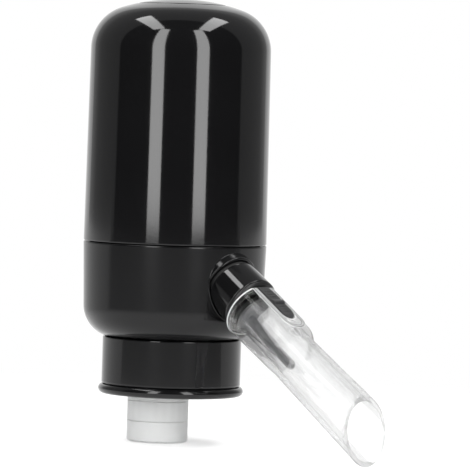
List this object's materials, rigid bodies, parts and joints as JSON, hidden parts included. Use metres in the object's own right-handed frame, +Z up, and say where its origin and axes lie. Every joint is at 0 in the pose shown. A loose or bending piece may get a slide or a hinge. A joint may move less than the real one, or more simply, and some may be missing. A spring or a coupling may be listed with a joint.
{
  "type": "electric wine aerator",
  "caption": "Battery wine dispenser and aerator that plugs into a bottle's neck: black capsule body with a button in its crown, soft plug below and a slanted clear pouring spout.",
  "frame": {"origin": "on the bottle plug's axis, in the plane where the bottle's rim meets the underside of the base", "axes": "+Z up along the plug and the body, -Y towards the spout, X across"},
  "size_m": [0.061, 0.1259, 0.148],
  "materials": {
    "cover_gloss": "deep gloss",
    "button_gloss": "gloss",
    "housing_gloss": "gloss",
    "collar_gloss": "gloss",
    "bead_gloss": "gloss",
    "knuckle_gloss": "gloss",
    "latch_satin": "fine matte",
    "tab_satin": "fine matte",
    "clear_plastic": "clear, polished",
    "tube_smoke": "clear smoke grey",
    "frosted_silicone": "frosted, translucent",
    "soft_black": "matte",
    "soft_clear": "satin",
    "core_plastic": "satin",
    "base_plastic": "moulded satin",
    "carrier_plastic": "moulded satin",
    "pump_plastic": "moulded satin",
    "crank_plastic": "moulded satin",
    "end_cap_plastic": "moulded satin",
    "elbow_plastic": "moulded satin",
    "hose_clear": "clear, soft",
    "board_green": "lacquered",
    "switch_black": "moulded",
    "plunger_red": "moulded",
    "can_zinc": "zinc plated",
    "bracket_steel": "plated",
    "shaft_steel": "ground",
    "rotor_steel": "stacked sheet",
    "magnet_grey": "sintered",
    "bush_bronze": "sintered",
    "contact_nickel": "nickel plated",
    "spring_steel": "drawn wire",
    "screw_steel": "zinc plated",
    "nut_steel": "zinc plated",
    "cell_sleeve": "printed sleeve, plain",
    "lead_sleeve": "soft sleeve"
  },
  "bodies": {
    "housing": {"aeration_tube": "tube_smoke", "air_hose": "hose_clear", "base_plate": "base_plastic", "base_ring": "bead_gloss", "battery_1": "cell_sleeve", "battery_2": "cell_sleeve", "battery_3": "cell_sleeve", "battery_4": "cell_sleeve", "battery_5": "cell_sleeve", "battery_6": "cell_sleeve", "battery_base": "carrier_plastic", "battery_cap": "carrier_plastic", "board_screws": "screw_steel", "bottle_plug": "frosted_silicone", "bracket_screws": "screw_steel", "carrier_screws": "screw_steel", "chassis_screws": "screw_steel", "collar_screws": "screw_steel", "contact_springs": "contact_nickel", "cover_seal": "soft_black", "hose_elbow": "elbow_plastic", "lower_contacts": "contact_nickel", "lower_housing": "housing_gloss", "motor_bracket": "bracket_steel", "motor_bushes": "bush_bronze", "motor_can": "can_zinc", "motor_end_cap": "end_cap_plastic", "motor_magnets": "magnet_grey", "neck_collar": "collar_gloss", "nozzle_seal": "soft_black", "plate_screws": "screw_steel", "plug_core": "core_plastic", "plug_screws": "screw_steel", "power_leads": "lead_sleeve", "pump_case": "pump_plastic", "pump_diaphragm": "soft_clear", "pump_head": "pump_plastic", "socket_gasket": "soft_black", "spout_knuckle": "knuckle_gloss", "spout_nut": "nut_steel", "straw_seal": "soft_clear", "switch_board": "board_green", "switch_body": "switch_black", "upper_contacts": "contact_nickel", "valve_plate": "pump_plastic", "wine_hose": "hose_clear", "wobble_plate": "pump_plastic"},
    "cover": {"upper_cover": "cover_gloss", "button_retainer": "base_plastic", "retainer_screws": "screw_steel", "button_spring": "spring_steel"},
    "button": {"power_button": "button_gloss"},
    "switch": {"switch_plunger": "plunger_red"},
    "nozzle": {"clear_nozzle": "clear_plastic", "latch_ring": "latch_satin", "latch_pin": "shaft_steel"},
    "tab": {"release_tab": "tab_satin"},
    "rotor": {"motor_shaft": "shaft_steel", "rotor_core": "rotor_steel", "pump_crank": "crank_plastic"}
  },
  "joints": [
    {"name": "cover_lift", "type": "slide", "parent": "housing", "child": "cover", "axis": [0, 0, 1], "range_m": [0, 0.085]},
    {"name": "button_press", "type": "slide", "parent": "cover", "child": "button", "axis": [0, 0, -1], "range_m": [0, 0.0015], "stiffness_N_per_m": 400, "springref_m": -0.002, "deforming": ["button_spring"]},
    {"name": "switch_press", "type": "slide", "parent": "housing", "child": "switch", "axis": [0, 0, -1], "range_m": [0, 0.0015]},
    {"name": "nozzle_pull", "type": "slide", "parent": "housing", "child": "nozzle", "axis": [0, -0.848, -0.5299], "range_m": [0, 0.045]},
    {"name": "tab_press", "type": "hinge", "parent": "nozzle", "child": "tab", "pos_m": [0, -0.05387, 0.03713], "axis": [1, 0, 0], "range_deg": [0, 5], "stiffness_Nm_per_rad": 0.06, "springref_deg": -5.16},
    {"name": "motor_spin", "type": "hinge", "parent": "housing", "child": "rotor", "pos_m": [0, -0.0061, 0.07], "axis": [0, 0, 1], "continuous": true}
  ],
  "couplings": [
    {"joint": "switch_press", "follows": "button_press", "ratio": 1}
  ]
}
